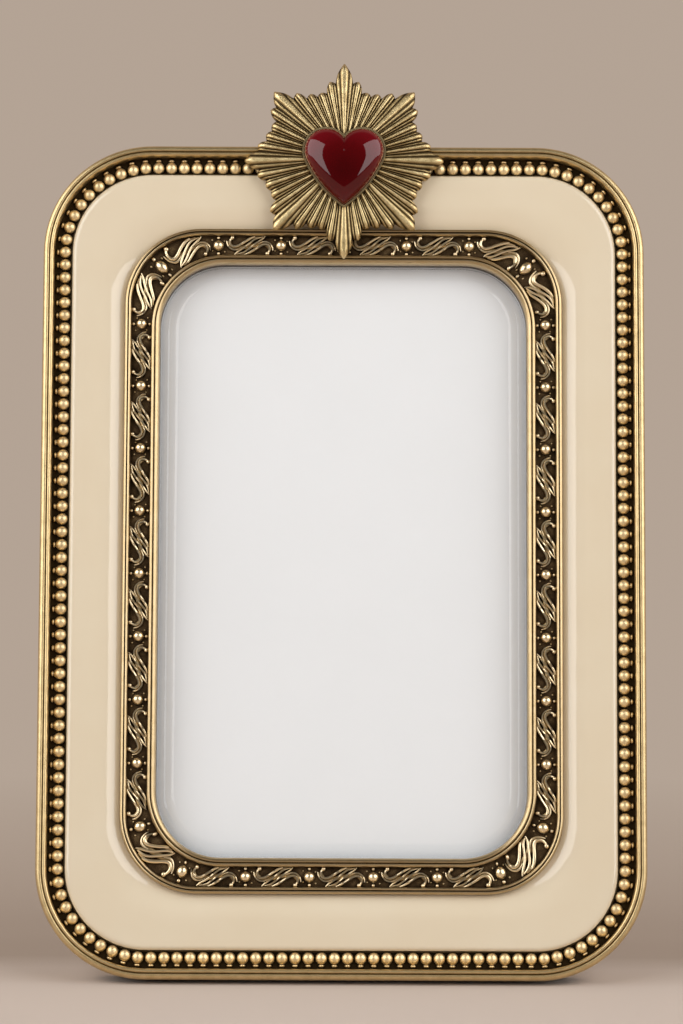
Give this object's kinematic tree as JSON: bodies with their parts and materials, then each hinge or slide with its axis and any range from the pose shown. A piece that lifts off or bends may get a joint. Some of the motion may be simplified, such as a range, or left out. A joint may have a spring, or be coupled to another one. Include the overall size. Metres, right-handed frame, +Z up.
{
  "type": "photo frame",
  "caption": "Standing photo frame with cream enamel border, beaded rim, scroll band, sunburst with red heart stone, slide-out velvet back and folding easel leg.",
  "frame": {"origin": "middle of the footprint box, on the surface that the frame stands on", "axes": "+Z up, front towards -Y and the easel leg towards +Y, +X to the right as seen from the front"},
  "size_m": [0.1494, 0.069, 0.2246],
  "materials": {
    "cast_brass": "cast antique brass, satin, darkened in the recesses",
    "bead_brass": "antique brass beads, rubbed bright on top",
    "patina_brass": "brass patinated nearly black",
    "scroll_brass": "antique brass relief, rubbed bright on its edges",
    "sunburst_brass": "antique gilt brass, dark in the flutes",
    "cream_enamel": "glossy cream vitreous enamel",
    "ruby_stone": "polished deep red glass",
    "clear_glass": "clear glass with a domed edge",
    "blank_card": "blank white photo card",
    "filler_card": "grey board",
    "sheet_brass": "folded sheet brass",
    "steel": "plated steel",
    "panel_board": "hardboard",
    "velvet": "dark brown velvet"
  },
  "bodies": {
    "border": {"frame_shell": "cast_brass", "rim_moulding": "cast_brass", "bead_border": "bead_brass", "enamel_field": "cream_enamel", "band_outer_rail": "cast_brass", "band_inner_rail": "cast_brass", "scroll_band_base": "patina_brass", "scroll_ornaments": "scroll_brass", "scroll_studs": "scroll_brass", "starburst": "sunburst_brass", "heart_bezel": "sunburst_brass", "heart_stone": "ruby_stone", "starburst_screws": "steel", "glass_pane": "clear_glass", "photo_card": "blank_card", "filler_board": "filler_card", "rear_plate": "cast_brass", "rear_plate_screws": "steel", "rail_left": "sheet_brass", "rail_right": "sheet_brass", "rail_bottom": "sheet_brass", "rail_rivets": "sheet_brass"},
    "back": {"back_panel": "panel_board", "back_velvet": "velvet", "hinge_fixed_leaf": "sheet_brass", "hinge_pin": "steel", "fixed_leaf_rivets": "sheet_brass"},
    "leg": {"easel_leg": "panel_board", "leg_velvet": "velvet", "hinge_leg_leaf": "sheet_brass", "leg_leaf_rivets": "sheet_brass"}
  },
  "joints": [
    {"name": "panel_slide", "type": "slide", "parent": "border", "child": "back", "axis": [0, 0.2079, 0.9781], "range_m": [0, 0.1618]},
    {"name": "leg_hinge", "type": "hinge", "parent": "back", "child": "leg", "pos_m": [0, 0.00833, 0.12524], "axis": [1, 0, 0], "range_deg": [-22.5, 0]}
  ]
}
